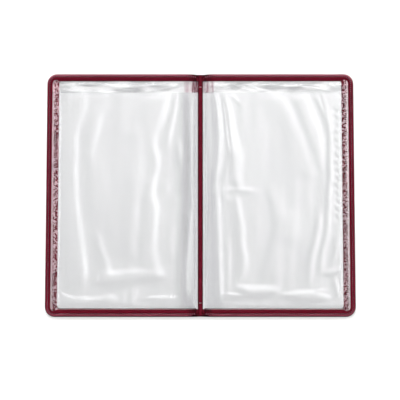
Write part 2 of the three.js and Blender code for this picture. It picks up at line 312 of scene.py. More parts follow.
# Each streak is (how far right of the spine's middle, how strong)
STREAK_REACH = 30
BURGUNDY_STREAKS = [
    (-26, 0.0), (-23, 0.22), (-19, 0.3), (-16, 0.05), (-13.5, 0.3), (-11.5, 1.0), (-4, 0.9), (0, 0.6),
    (4, 0.3), (8, 0.14), (11, 0.6), (12.5, 0.3), (15, 0.08), (18.5, 0.4), (21.5, 0.0),
]


def spaced(*stops):
    """Positions between stops given as (place, step), each stretch divided evenly."""
    lines = [stops[0][0]]
    for (a, _), (b, step) in zip(stops, stops[1:]):
        count = max(1, round((b - a) / step))
        lines.extend(a + (b - a) * (i + 1) / count for i in range(count))
    return np.array(lines)


def flat_grid(name, columns, rows):
    """A flat sheet whose grid lines lie at these places."""
    deselect_all()
    across, along = len(columns) - 1, len(rows) - 1
    bpy.ops.mesh.primitive_grid_add(x_subdivisions=across, y_subdivisions=along, size=1)
    piece = bpy.context.object
    piece.name = piece.data.name = name
    points = points_of(piece) * MM
    i = np.rint((points[:, 0] + 0.5) * across).astype(int)
    j = np.rint((points[:, 1] + 0.5) * along).astype(int)
    set_points(piece, np.stack([columns[i], rows[j], np.zeros(len(points))], axis=1))
    return piece


def rounded_corners(x, y):
    """Draws a sheet's outer corners in to an arc, its grid with them."""
    centre_x, centre_y = HALF_WIDTH - OUTER_RADIUS, HALF_HEIGHT - OUTER_RADIUS
    a, b = np.maximum(np.abs(x) - centre_x, 0), np.maximum(np.abs(y) - centre_y, 0)
    share = np.maximum(a, b) / np.maximum(np.hypot(a, b), 1e-9)
    share = np.where((a > 0) & (b > 0), share, 1.0)
    inner_x = np.where(a > 0, np.sign(x) * (centre_x + a * share), x)
    inner_y = np.where(b > 0, np.sign(y) * (centre_y + b * share), y)
    return inner_x, inner_y


def ease(t):
    t = np.clip(t, 0, 1)
    return t * t * (3 - 2 * t)


def bell(off, width, power=2):
    """1 where off is 0, falling away on both sides over about that width."""
    return np.exp(-((off / width) ** power))


def through(knots, values, places):
    """A smooth line through values at rising knots, level beyond its ends."""
    slopes = np.gradient(values, knots)
    at = np.clip(places, knots[0], knots[-1])
    k = np.clip(np.searchsorted(knots, at) - 1, 0, len(knots) - 2)
    span = knots[k + 1] - knots[k]
    t = (at - knots[k]) / span
    return (
        values[k] * (1 + 2 * t) * (1 - t) ** 2
        + values[k + 1] * t * t * (3 - 2 * t)
        + span * slopes[k] * t * (1 - t) ** 2
        - span * slopes[k + 1] * t * t * (1 - t)
    )


def fold(x, y, tilt, run_out, *path, fade=24, breadth=1.15, shared=0.0):
    """A fold of the film: a flank of that tilt in degrees, which rises towards greater x where its path of
    (x, y, half width) runs up the sheet, or towards greater y where it runs across. Past the flank the film
    comes back to level over the run-out, on the far side where that is positive and else on the near side.
    Of a near-side fold, the shared part of its height lies beyond the flank, on the other side of level."""
    stops = np.array(path, float)
    spread = np.ptp(stops[:, :2], axis=0)
    upright = spread[1] >= spread[0]
    along, across = (y, x) if upright else (x, y)
    order = np.argsort(stops[:, 1 if upright else 0])
    knots = stops[order, 1 if upright else 0]
    half = breadth * through(knots, stops[order, 2], along)
    off = across - through(knots, stops[order, 0 if upright else 1], along)
    flank = ease((off + half) / (2 * half))
    if run_out > 0:
        shape = flank * bell(np.maximum(off - half, 0), run_out)
    else:
        shape = (flank - 1 + shared) * bell(np.maximum(-off - half, 0), run_out)
        shape *= bell(np.maximum(off - half, 0), 16)
    ends = ease((along - knots[0] + fade / 2) / fade) * ease((knots[-1] + fade / 2 - along) / fade)
    return math.tan(math.radians(tilt)) * half / 0.75 * ends * shape


def ripple(x, y, seed, size):
    """Slow unevenness of the film, from a few crossing waves."""
    waves = np.random.default_rng(seed)
    total = np.zeros_like(x)
    for _ in range(9):
        angle, phase = waves.uniform(0, math.pi), waves.uniform(0, 2 * math.pi)
        length = size * waves.uniform(0.7, 1.5)
        total += np.sin((x * math.cos(angle) + y * math.sin(angle)) * 2 * math.pi / length + phase)
    return total / 9


def streaked_top(colour, place, long_place):
    """Above the pocket's mouth the film is greyer in smears, and beside the spine it is tinted burgundy in
    streaks.
    """
    tree = colour.id_data
    at = add_node(tree, "SeparateXYZ", Vector=place).outputs
    wide_place = add_node(tree, "Mapping", Vector=place, Scale=(0.2, 1.0, 1.0)).outputs[0]
    smears = noise(wide_place, 110.0, 3.0)
    above_mouth = ranged(at["Y"], (MOUTH_Y - 3) * MM, (MOUTH_Y + 1) * MM)
    grey_smears = maths("MULTIPLY", above_mouth, ranged(smears, 0.4, 0.62))
    colour = mixed(grey_smears, colour, GREY_SMEAR)
    spot = ranged(at["X"], -STREAK_REACH * MM, STREAK_REACH * MM, way="LINEAR")
    ramp = add_node(tree, "ValToRGB", Fac=spot)
    for x, depth in BURGUNDY_STREAKS:
        element = ramp.color_ramp.elements.new((x + STREAK_REACH) / (2 * STREAK_REACH))
        element.color = (depth, depth, depth, 1.0)
    for end in (0, -1):
        ramp.color_ramp.elements[end].color = (0.0, 0.0, 0.0, 1.0)
    up = ranged(at["Y"], (MOUTH_Y - 1) * MM, MOUTH_Y * MM)
    fine = ranged(noise(long_place, 600.0, 2.0), 0.25, 0.6, 0.25, 1.0)
    streak = maths("MULTIPLY", up, ramp.outputs["Color"])
    return mixed(maths("MULTIPLY", streak, fine, clamp=True), colour, BURGUNDY_TINT)


def clear_film(name, tint, spine_tint, haze, reflection=0.042, streaked=False):
    """Clear vinyl: it lets light through, a little greyed and hazed, and mirrors the room on each face.
    It is greyer in streaks towards the spine, more so on the left leaf, a little greyer towards the right,
    and clings in wrinkles where it lies on the border."""
    material, tree, shader = new_material(name)
    tree.nodes.remove(shader)
    place = add_node(tree, "TexCoord").outputs["Object"]
    at = add_node(tree, "SeparateXYZ", Vector=place).outputs
    from_spine = maths("ABSOLUTE", at["X"])
    long_place = add_node(tree, "Mapping", Vector=place, Scale=(1.0, 0.12, 1.0)).outputs[0]
    streaks = maths("MULTIPLY_ADD", noise(long_place, 90.0, 2.0), 1.0, 0.35)
    greyed = maths("MULTIPLY", ranged(from_spine, 0.046, 0.012), streaks, clamp=True)
    on_left = ranged(at["X"], 0.002, -0.002)
    near_spine_tint = mixed(on_left, spine_tint, shaded(spine_tint, 0.965))
    toward_right = ranged(at["X"], -0.1, 0.24, way="LINEAR")
    rightward_tint = mixed(toward_right, tint, shaded(tint, 0.974))
    colour = mixed(greyed, rightward_tint, near_spine_tint)
    if streaked:
        colour = streaked_top(colour, place, long_place)
    clings = ranged(from_spine, (WINDOW_X - 0.5) * MM, (WINDOW_X + 0.5) * MM)
    beside_tape = ranged(from_spine, (HALF_WIDTH - 12.5) * MM, (HALF_WIDTH - 11) * MM, 1.0, 0.3)
    clings = maths("MULTIPLY", clings, beside_tape)
    clear = add_node(tree, "BsdfTransparent", Color=colour)
    milk = add_node(tree, "BsdfDiffuse", Color=MILKY)
    body = add_node(tree, "MixShader", Fac=maths("MULTIPLY_ADD", clings, -0.9 * haze, haze))
    feed(clear.outputs[0], body.inputs[1])
    feed(milk.outputs[0], body.inputs[2])
    facing = add_node(tree, "LayerWeight", Blend=0.5).outputs["Facing"]
    mirror = maths("MULTIPLY_ADD", maths("POWER", facing, 5.0), 0.6, reflection, clamp=True)
    mirror = maths("MULTIPLY", mirror, maths("MULTIPLY_ADD", clings, -0.9, 1.0))
    mirror = maths("MULTIPLY", mirror, ranged(from_spine, 0.006, 0.013, 0.25, 1.0))
    gloss = add_node(tree, "BsdfAnisotropic", Color=(1.0, 1.0, 1.0, 1.0), Roughness=FILM_ROUGHNESS)
    surface = add_node(tree, "MixShader", Fac=mirror)
    feed(body.outputs[0], surface.inputs[1])
    feed(gloss.outputs[0], surface.inputs[2])
    on_border = ranged(from_spine, (WINDOW_X - 1) * MM, (WINDOW_X + 1.5) * MM, 0.0, 2.6)
    on_border = maths("MULTIPLY", on_border, beside_tape)
    height = maths("MULTIPLY", noise(place, 420.0, 4.0), on_border)
    bump = add_node(tree, "Bump", Strength=0.8, Distance=0.3 * MM, Height=height)
    feed(bump.outputs["Normal"], gloss.inputs["Normal"])
    feed(surface.outputs[0], tree.nodes["Material Output"].inputs["Surface"])
    return material


BINDING_WIDTH = 8.0
TOP_FLAP = 10.7
back_film = clear_film(
    "clear_vinyl_back", (0.953, 0.954, 0.956, 1.0), (0.917, 0.918, 0.922, 1.0), 0.03, 0.052, streaked=True
)
# Each fold is (tilt in degrees, run-out, then its path's points as (x, y, half width)), in millimetres
MOUTH_STRIP_FOLDS = {
    "left": [
        (-9, -5, (-208, 164, 2.2), (-196, 171, 2), (-144, 172.5, 2), (-90, 172.5, 2), (-39, 171.5, 2)),
        (9, 4, (-190, 171, 1.8), (-163, 167.5, 2.4), (-125, 164, 2.6), (-92, 161, 2)),
        (9, 4, (-106, 162, 2.4), (-87, 166, 2.2), (-64, 170, 1.8)),
        (-8, -3, (-200, 161.5, 1.5), (-170, 160.6, 1.5), (-144, 160.4, 1.5)),
        (-9, -3, (-92, 160, 1.6), (-67, 162, 1.6), (-46, 168.5, 1.8)),
        (7, 3, (-75, 159.5, 1.4), (-58, 162, 1.4), (-44, 165, 1.4)),
        (8, 2, (-214, 168, 1.6), (-208, 172, 1.6)),
    ],
    "right": [
        (-10, -3, (46, 174, 1.6), (63, 168, 1.8), (86, 160, 1.8)),
        (8, 2.5, (49, 170.5, 1.5), (64, 164.5, 1.5), (78, 160, 1.5)),
        (-10, -3, (67, 173, 1.6), (86, 167, 1.8), (106, 160, 1.8)),
        (8, 3, (86, 168.5, 1.6), (115, 165, 3.2), (143, 164, 3.6), (172, 163.5, 3), (186, 161.5, 2)),
        (-10, -3, (76, 174, 1.3), (134, 172.5, 1.4), (172, 168.7, 1.6), (186, 166, 1.6), (201, 161, 1.6)),
        (8, 2, (190, 172.5, 1.5), (199, 169, 1.6), (208, 163, 1.6)),
    ],
}


def pressed_down(x, y):
    """1 in the open part of a sheet, falling to 0 where the binding and the weld hold it flat."""
    from_side = HALF_WIDTH - BINDING_WIDTH - np.abs(x)
    from_top = np.where(y > 0, HALF_HEIGHT - TOP_FLAP - y, HALF_HEIGHT - BINDING_WIDTH + y)
    from_weld = np.abs(x) - WELD_X
    return ease(from_side / 5) * ease(from_top / 2.5) * ease(from_weld / 8)


def film_grid(side, layer, columns, rows):
    """A flat sheet for one leaf, and where its points lie once its outer corners are drawn in."""
    sheet = flat_grid(f"{side}_{layer}_film", np.sort(SIDES[side] * columns), rows)
    x, y, _ = points_of(sheet).T
    return sheet, *rounded_corners(x, y)


def finish_film(sheet, side, layer, places, material):
    """Lays the sheet's upper face at those places, thickens it downwards and sets it up on its leaf."""
    set_points(sheet, np.stack(places, axis=1))
    apply_modifier(sheet, "SOLIDIFY", thickness=SHEET_THICKNESS * MM, offset=-1)
    smooth(sheet)
    set_up(sheet, material, side + "_leaf", f"{side}_{layer}_sheet")


for side, sign in SIDES.items():
    columns = spaced((WELD_X, 0), (SHEET_EDGE_X, 2.0))
    rows = spaced((-SHEET_EDGE_Y, 0), (148, 3.0), (SHEET_EDGE_Y, 0.7))
    sheet, x, y = film_grid(side, "back", columns, rows)
    rise = 0.38 * ripple(0.2 * x, y, 11 + sign, 14)
    for tilt, run_out, *path in MOUTH_STRIP_FOLDS[side]:
        rise += fold(x, y, tilt, run_out, *path, fade=16)
    under_tape = ease((HALF_HEIGHT - TOP_FLAP - 1 - y) / 5)
    rise = np.maximum(rise, -0.3) * pressed_down(x, y) * ease((y - 150) / 8) * under_tape
    finish_film(sheet, side, "back", [x, y, BACK_SHEET_Z + SHEET_THICKNESS + rise], back_film)

# Front sheets
# The pocket's clear vinyl, welded to the spine, sewn at the side and bottom and cut off below the top.
# It stands proud of the back sheet inside the stitching and keeps the long soft folds it was packed with.
POCKET_LIFT = 0.7
LIFT_RAMP = 4.32
SPINE_RAMP = 3.2
LOWEST_DENT = 0.62
BETWEEN_SEAMS = 5.2
# With the cover shut, the two front sheets have this much room for their folds, less towards the outer edge
ROOM_AT_SPINE = 3.3
ROOM_LOST = 0.0122
LEFT_FOLDS = [
    (-7, -16, (-173, 155, 7), (-180, 129, 7.5), (-185, 110, 6.5), (-189, 90, 5.5), (-189, 69, 5),
     (-189, 28, 5), (-187, -13, 5.5), (-184, -36, 6), (-181, -55, 6.5), (-175, -97, 7), (-172, -114, 7.5),
     (-174, -134, 7)),
    (-6, -5, (-199, 155, 2.5), (-201, 135, 2.5), (-201, 115, 2.5), (-200, 88, 2.5), (-199, 62, 2.5)),
    (-4, -6, (-199, 0, 2.5), (-197, -30, 2.5), (-195, -69, 3), (-189, -97, 3), (-184, -116, 3)),
    (-4.5, -18, (-138, 155, 7), (-148, 125, 6.5), (-155, 100, 6), (-163, 76, 6), (-168, 53, 6)),
    (-5, -12, (-154, -59, 5), (-146, -86, 5), (-138, -109, 5.5), (-138, -132, 5.5)),
    (-3.5, -16, (-92, 100, 7), (-88, 57, 7), (-90, 28, 7), (-93, -1, 6), (-97, -20, 6), (-99, -49, 6),
     (-101, -69, 6), (-97, -97, 6)),
    (3.5, 12, (-80, 22, 4), (-84, -1, 4), (-86, -40, 5), (-89, -78, 5), (-91, -100, 5)),
    (-8, -16, (-46, 155, 6), (-52, 135, 6), (-59, 115, 6), (-66, 92, 5.5), (-68, 76, 5), (-63, 57, 5),
     (-64, 38, 4.5), (-69, 18, 4.5), (-71, -1, 4.5), (-66, -20, 4.5), (-67, -40, 4), (-69, -63, 4)),
    (-5, -16, (-69, -60, 5), (-70, -82, 6), (-66, -116, 8)),
    (-3, -15, (-62, 150, 9), (-75, 110, 9), (-82, 85, 8)),
    (3, 5, (-41, 147, 2.5), (-44, 131, 2.5), (-48, 112, 2.5), (-54, 88, 3)),
    (-6, -5, (-34, 159, 3), (-36, 135, 3), (-40, 115, 3), (-44, 96, 3.5), (-48, 76, 4)),
    (-3, -5, (-32, 88, 2.5), (-29, 62, 2.5)),
    (3, 6, (-38, 73, 4), (-38, 57, 4), (-36, 41, 4)),
    (-4, -8, (-31, 30, 3), (-46, 18, 4), (-48, 3, 4)),
    (4, 6, (-22, 155, 5), (-23, 96, 5), (-21, 18, 4), (-20, -20, 4)),
    (6, 7, (-21, -30, 4), (-26, -70, 5), (-30, -100, 6), (-30, -160, 6)),
    (-3, -8, (-34, -1, 4), (-38, -40, 4), (-40, -97, 4)),
    (6.5, 9, (-157, -137, 6), (-131, -139, 8), (-104, -134, 7), (-58, -131, 4)),
    (-6, -4, (-113, -151, 2.2), (-115, -165, 2.2)),
    (5, 3, (-107, -150, 2.5), (-107, -166, 2.5)),
    (-7, -4, (-94, -151, 2.5), (-102, -167, 2.5)),
    (-10, -5, (-86, -157, 2.4), (-36, -157, 2.4)),
    (-9, -6, (-211, -152, 4), (-199, -158, 4), (-170, -159, 4), (-131, -156, 4)),
    (5, 4, (-206, -20, 3), (-206, -78, 3), (-205, -116, 3.5), (-201, -135, 3.5)),
]
RIGHT_FOLDS = [
    (-7, -5, (26, 155, 3), (30, 131, 3), (33, 106, 3), (34, 84, 3), (32, 61, 3), (28, 38, 3), (25, 22, 3)),
    (5, 4, (19, 155, 3.5), (21, 120, 4), (22, 80, 4), (21, 40, 4), (18, 18, 4)),
    (6, 5, (19, 10, 4), (21, -60, 4.5), (23, -126, 5), (24, -166, 5)),
    (5, 5, (36, 145, 2.5), (41, 115, 3), (43, 86, 3), (42, 67, 3), (38, 41, 3), (34, 26, 3)),
    (-6, -4, (43, 151, 4), (48, 119, 5), (55, 84, 7), (61, 57, 8), (59, 28, 7), (63, 12, 6)),
    (-7, -5, (40, 9, 3), (60, 10, 3), (82, 8, 3)),
    (-4, -5, (51, 155, 2.5), (67, 138, 2.5)),
    (-3, -6, (38, 7, 4), (47, -14, 4)),
    (-7, -9, (59, -5, 4), (62, -30, 4), (66, -55, 4.5), (66, -78, 4.5), (70, -97, 4.5), (69, -116, 4.5),
     (62, -135, 4), (47, -153, 3.5), (37, -163, 3)),
    (4.5, 14, (102, 7, 4), (108, -20, 4.5), (111, -44, 5), (108, -65, 5), (102, -88, 5), (98, -109, 4.5),
     (94, -132, 4.5)),
    (-3.5, -22, (124, 155, 7), (134, 139, 8), (145, 119, 8), (156, 96, 8), (164, 73, 8), (177, 28, 8)),
    (3, 8, (141, 151, 5), (153, 115, 5), (162, 92, 5), (170, 69, 5)),
    (-8, -10, (165, 153, 4.5), (170, 131, 5.5), (178, 110, 7), (184, 86, 6.5), (188, 61, 5), (187, 41, 4)),
    (7, 4, (176, 151, 2.5), (184, 131, 2.5), (191, 112, 2.5), (196, 92, 2.5), (194, 67, 3), (194, 45, 3),
     (196, 26, 2.5), (192, 7, 3), (192, -20, 3)),
    (-5.5, -3, (191, 155, 3), (197, 129, 2.8), (201, 106, 2.6), (202, 76, 2.6), (202, 47, 2.6),
     (200, 18, 2.6), (199, -11, 2.6), (197, -40, 3), (195, -65, 3), (189, -88, 3), (186, -109, 3.5)),
    (-11, -4, (190, -118, 3), (202, -116, 3.5), (214, -108, 3)),
    (5, 4, (190, -20, 2.5), (190, -49, 2.5), (185, -72, 2.5), (180, -97, 3), (177, -120, 3)),
    (-6, -4, (183, -30, 2.5), (182, -55, 2.8), (177, -78, 3), (171, -107, 3), (168, -134, 3)),
    (5, 6, (178, -40, 3), (170, -69, 3.5), (164, -93, 4), (160, -116, 4)),
    (-2, -16, (148, -30, 12), (150, -75, 12)),
    (6, 4, (204, -70, 3), (200, -97, 3), (195, -111, 2.5)),
    (6, 4, (199, -130, 3.5), (204, -157, 3.5)),
    (-11, -6, (58, -141, 4), (83, -144, 6), (112, -142, 4.5)),
    (-11, -4, (126, -153, 3), (143, -149.5, 3.2), (170, -149, 3.2), (184, -145, 3)),
    (-5, -3, (129, -152, 2.5), (122, -166, 2.5)),
    (10, 3, (138, -163, 4.5), (166, -162, 5.5), (190, -163, 4.5)),
    (9, 3, (40, -160, 4), (62, -160, 4)),
    (4, 5, (37, -69, 4), (37, -158, 4)),
    (-4, -4, (31, -90, 2.5), (31, -158, 2.5)),
]


def inside_window(x, y):
    """How far a point is inside the border's window, whose bottom corner is round."""
    radius = WINDOW_BOTTOM_RADIUS
    out_x = np.abs(x) - (WINDOW_X - radius)
    out_y = (WINDOW_BOTTOM + radius) - y
    beyond = np.hypot(np.maximum(out_x, 0), np.maximum(out_y, 0))
    return radius - beyond - np.minimum(np.maximum(out_x, out_y), 0)


def puckers(x, y, place_x, low, high, pitch, depth):
    """Small slanting dents where the side seam gathers the film, one to each pitch from low to high."""
    centre = low + pitch * np.rint((np.clip(y, low, high) - low) / pitch)
    sway = 1.2 * np.sin(centre * 0.37) - 0.4 * (y - centre)
    return -depth * bell(x - place_x - sway, 2.3) * bell(y - centre, 3.0)


# A side's folds, how steep and broad they are, the share of them beyond the flank, and the film's slack
FOLD_WAYS = {"left": (LEFT_FOLDS, 1.3, 1.35, 0.35, 0.9), "right": (RIGHT_FOLDS, 1.1, 1.25, 0.0, 0.6)}
# Where a side's row of small dents is: x, lowest y, highest y, pitch and depth
PUCKERS = {"left": (-208, -10, 150, 17.0, 0.35), "right": (207, -36, 131, 11.9, 0.9)}
front_film = clear_film("clear_vinyl_front", (0.96, 0.961, 0.963, 1.0), (0.92, 0.921, 0.925, 1.0), 0.03)
for side, sign in SIDES.items():
    columns = spaced((WELD_X, 0), (26, 0.9), (194, 1.65), (WINDOW_X + 1, 0.9), (SHEET_EDGE_X, 0.85))
    sheet, x, y = film_grid(side, "front", columns, spaced((-SHEET_EDGE_Y, 0), (MOUTH_Y, 1.35)))
    depth = inside_window(x, y)
    lift = POCKET_LIFT * ease(depth / LIFT_RAMP) * ease((np.abs(x) - WELD_X) / SPINE_RAMP)
    folds, steeper, breadth, shared, slack = FOLD_WAYS[side]
    rise = slack * ripple(x, 0.3 * y, 5 + sign, 45) + 0.2 * ripple(x, 0.16 * y, 31 + sign, 19)
    for tilt, run_out, *path in folds:
        rise += fold(x, y, steeper * tilt, run_out, *path, breadth=breadth, shared=shared)
    rise *= ease((depth - 2) / 6) * ease((np.abs(x) - WELD_X) / 6)
    room = ROOM_AT_SPINE - ROOM_LOST * np.abs(x)
    raised = room * np.tanh(rise / room)
    rise = np.where(rise < 0, LOWEST_DENT * np.tanh(rise / LOWEST_DENT), raised)
    rise += puckers(x, y, *PUCKERS[side])
    between_seams = np.clip((HALF_WIDTH - BINDING_WIDTH - np.abs(x)) / BETWEEN_SEAMS, 0, 1)
    on_border = ease((3 - depth) / 3)
    beside_tape = 0.4 * np.sin(math.pi * between_seams) ** 0.8 * ease((170 - np.abs(y)) / 8)
    drawn_in = 1 - bell((between_seams - 1) * BETWEEN_SEAMS, 1.5) * (np.abs(x) > WINDOW_X)
    clinging = 0.16 * on_border * drawn_in * ripple(x, y, 21 + sign, 4.4)
    z = FRONT_SHEET_Z + SHEET_THICKNESS + lift + rise + beside_tape + clinging
    finish_film(sheet, side, "front", [x, y, z], front_film)

# Welded margins at the spine
# Both sheets run on together to the spine, fused into one band; its middle rides on the spine.
# Each crease is a narrow flat band of it between that middle and its leaf.
CORE_EDGE = 3.3
SHEETS_TOP = FRONT_SHEET_Z + SHEET_THICKNESS


def band(name, x0, x1, step):
    """The fused sheets from x0 to x1, over the cover's height."""
    piece = flat_grid(name, spaced((x0, 0), (x1, step)), spaced((-SHEET_EDGE_Y, 0), (SHEET_EDGE_Y, 4)))
    points = points_of(piece)
    points[:, 2] = SHEETS_TOP
    set_points(piece, points)
    apply_modifier(piece, "SOLIDIFY", thickness=(SHEETS_TOP - BACK_SHEET_Z) * MM, offset=-1)
    smooth(piece)
    return piece


def turn_on_crease(piece, side):
    """Bakes the piece's placing into its points, the same on either side; the piece rides on no body and
    does not bend.
    """
    if side == "left":
        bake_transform(piece)
    else:
        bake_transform(piece)


welded_film = clear_film(
    "clear_vinyl_welded", (0.89, 0.892, 0.897, 1.0), (0.87, 0.872, 0.878, 1.0), 0.06, streaked=True
)
core = band("spine_welded_core", -CORE_EDGE, CORE_EDGE, 1.1)
set_up(core, welded_film, "spine", "spine_core")
for side, sign in SIDES.items():
    ends = sorted((sign * CORE_EDGE, sign * WELD_X))
    crease = band(side + "_crease_film", *ends, 0.2)
    dress(crease, welded_film)
    turn_on_crease(crease, side)

# Edge binding
# Leatherette tape folded round the leaf's three outer sides and stitched through 4 mm from the edge.
# The thread draws the tape down into a groove, so it stands up round and full on either side of it.
SEAM_INSET = 4.0
TAPE_THICKNESS = 0.66
TAPE_TOP = 3.2
STITCH_PITCH = 3.1
SPINE_FLAP = 11.6
BOTTOM_FLAP = 11.0
BINDING_BURGUNDY = (0.225, 0.006, 0.026, 1.0)
BINDING_DEEP = (0.06, 0.0015, 0.006, 1.0)
# Near black painted shade in the needle holes
HOLE_SHADE = (0.012, 0.001, 0.002, 1.0)
# Painted highlight on the tape's crest
PAINTED_CREST_HIGHLIGHT = (0.37, 0.1, 0.14, 1.0)
CREST_INSET = 1.9
seam_radius = OUTER_RADIUS - SEAM_INSET
top_run = HALF_WIDTH - OUTER_RADIUS - TAPE_END_X
corner_run = seam_radius * math.pi / 2
side_run = 2 * (HALF_HEIGHT - OUTER_RADIUS)
seam_length = 2 * top_run + 2 * corner_run + side_run


def along_edge(s):
    """Where the right leaf's seam is after s millimetres from the spine's top, and the way inwards there."""
    centre_x, centre_y = HALF_WIDTH - OUTER_RADIUS, HALF_HEIGHT - OUTER_RADIUS
    turn_1 = np.clip((s - top_run) / corner_run, 0, 1)
    turn_2 = np.clip((s - top_run - corner_run - side_run) / corner_run, 0, 1)
    angle = (turn_1 + turn_2) * math.pi / 2
    in_x, in_y = -np.sin(angle), -np.cos(angle)
    run_1 = np.clip(s, None, top_run)
    run_2 = np.clip(s - top_run - corner_run, 0, side_run)
    run_3 = np.clip(s - top_run - 2 * corner_run - side_run, 0, None)
    x = TAPE_END_X + run_1 - run_3 - in_x * seam_radius
    y = centre_y - run_2 - in_y * seam_radius
    return x, y, in_x, in_y


def follow_edge(points):
    """Lays points of (along the seam, inwards from the edge, height) round the right leaf."""
    x, y, in_x, in_y = along_edge(points[:, 0])
    off = points[:, 1] - SEAM_INSET
    return np.stack([x + in_x * off, y + in_y * off, points[:, 2]], axis=1)


FOLD_RADIUS = TAPE_TOP / 2
FLAP_STATIONS = [
    8.0, 7.97, 7.75, 7.3, 6.7, 6.0, 5.4, 5.0, 4.65, 4.35, 4.12, 4.0, 3.88, 3.65, 3.35, 3.0, 2.5, 2.0
]
OUTER_PUFF = 0.34
INNER_PUFF = 0.22


def puff(u):
    """How far the folded tape stands up beside its seam."""
    if u < SEAM_INSET:
        return OUTER_PUFF * math.sin(math.pi * (max(u, 0) / SEAM_INSET) ** 1.5) ** 0.8
    droop = 0.28 * max(u - 5, 0) / (BINDING_WIDTH - 5)
    return INNER_PUFF * math.sin(math.pi * (u - SEAM_INSET) / (BINDING_WIDTH - SEAM_INSET)) ** 0.6 - droop


def folded_section():
    """The tape's outer face from its top edge round the fold to its bottom edge, as (inset, height)."""
    top = [(u, TAPE_TOP + puff(u)) for u in FLAP_STATIONS]
    top[0] = (BINDING_WIDTH, 2.4)
    fold_arc = []
    for angle in np.linspace(0, math.pi, 11):
        u = FOLD_RADIUS - FOLD_RADIUS * math.sin(angle)
        z = FOLD_RADIUS + FOLD_RADIUS * math.cos(angle)
        fold_arc.append((u, z + puff(u) * (math.cos(angle) > 0)))
    bottom = [(u, 0.0) for u in reversed(FLAP_STATIONS[::2])]
    bottom.append((BINDING_WIDTH, 0.78))
    return np.array(top + fold_arc + bottom)


section = folded_section()


def stitched_groove(s, u, z, gathered):
    """How far the thread draws the tape's outer faces in, most at the needle holes."""
    hole = 0.5 + 0.5 * np.cos(2 * math.pi * s / STITCH_PITCH)
    across = bell(u - SEAM_INSET, 0.75)
    gather = bell(u - 2.2, 1.5) * (0.05 + 0.34 * gathered)
    draw = across * (0.34 + 0.3 * hole) + gather * hole
    return np.where(z > FOLD_RADIUS, -draw, 0.55 * draw * (u > 1.7))


# Each pleat is (how far from the spine's middle it starts, how far it leans out, half width, depth)
PLEATS = [(4.4, 4.6, 2.7, 0.85), (10.6, -0.6, 1.9, 0.75), (15.5, 2.0, 1.1, 0.25)]
DEEPEST_PLEAT = 0.7
TOP_DIP = 2.0
BOTTOM_DIP = -0.4
FULLER_PUFF = 0.35
UNDER_STRIP = 0.8


def pleat_depth(x, edge_share):
    """How deep the tape's creases beside the spine are at a place."""
    depth = np.zeros_like(x)
    for start, lean, width, drop in PLEATS:
        depth += drop * bell(np.abs(x) - start - lean * edge_share, width)
    return depth


def at_spine(points, outer):
    """Along the top and bottom the tape's flap is wider and stands up fuller. Near the spine it is folded
    over on itself: its edge dips at the top, creases run out from the strip, and it rises under the strip.
    Returns the points and each one's share of painted shade: more the deeper it lies in a crease, and more
    near the spine's middle."""
    x, y, z = points.T
    on_top_face = z > TAPE_TOP - 0.9
    flap = np.where(y > 0, TOP_FLAP, BOTTOM_FLAP)
    flap = flap + (SPINE_FLAP - flap) * bell(x, 15.0, 4)
    inset = HALF_HEIGHT - np.abs(y) - SEAM_INSET
    reach = (flap - SEAM_INSET) / (BINDING_WIDTH - SEAM_INSET) - 1
    straight = ease((HALF_WIDTH - OUTER_RADIUS + 3 - np.abs(x)) / 8)
    widened = np.where((inset > 0) & (z > FOLD_RADIUS), inset * reach * straight, 0)
    widened = np.where(inset < BINDING_WIDTH, widened, 0)
    y = y - np.sign(y) * widened
    crest = np.sin(math.pi * np.clip(1 + inset / SEAM_INSET, 0, 1)) * (inset < 0) * on_top_face
    z = z + FULLER_PUFF * crest * ease((HALF_WIDTH - OUTER_RADIUS - np.abs(x)) / 15) * outer
    near = bell(x, 7.5)
    edge_share = np.clip((np.abs(y) - (HALF_HEIGHT - BINDING_WIDTH)) / BINDING_WIDTH, 0, 1)
    y = y - np.where(y > 0, TOP_DIP, BOTTOM_DIP) * near * edge_share
    at_end = np.abs(y) > HALF_HEIGHT - 14
    depth = pleat_depth(x, edge_share) * outer * at_end
    z = z - np.minimum(depth, DEEPEST_PLEAT) * on_top_face
    raised = UNDER_STRIP * ease((5.9 - np.abs(x)) / 1.6)
    z = np.where(at_end, raised + z * (1 - raised / TAPE_TOP), z)
    # Painted shade over the tape's ends near the spine's middle
    painted_spine_shade = 0.5 * bell(x, 9.0, 4) * outer * at_end
    return np.stack([x, y, z], axis=1), np.clip(depth / 0.3 + painted_spine_shade, 0, 1)


def mark_painted_shade(piece, depth):
    """Keeps each point's share of painted shade, for the leatherette's near black tone there."""
    layer = piece.data.attributes.new("painted_shade", "FLOAT", "POINT")
    layer.data.foreach_set("value", depth.astype(np.float32))


def tape(name, start, end, step):
    """A straight length of tape with the folded section, still to be laid along the edge."""
    piece = flat_grid(name, spaced((start, 0), (end, step)), np.arange(len(section), dtype=float))
    points = points_of(piece)
    k = np.rint(points[:, 1]).astype(int)
    laid = np.stack([points[:, 0], section[k, 0], section[k, 1]], axis=1)
    set_points(piece, laid)
    edit_faces(piece, bpy.ops.mesh.flip_normals)
    corners = np.empty(len(piece.data.loops), int)
    piece.data.loops.foreach_get("vertex_index", corners)
    piece.data.uv_layers.active.data.foreach_set("uv", laid[corners, :2].astype(np.float32).ravel())
    outer_count = len(piece.data.vertices)
    apply_modifier(piece, "SOLIDIFY", thickness=TAPE_THICKNESS * MM, offset=-1, use_even_offset=True)
    outer = np.arange(len(piece.data.vertices)) < outer_count
    return piece, outer


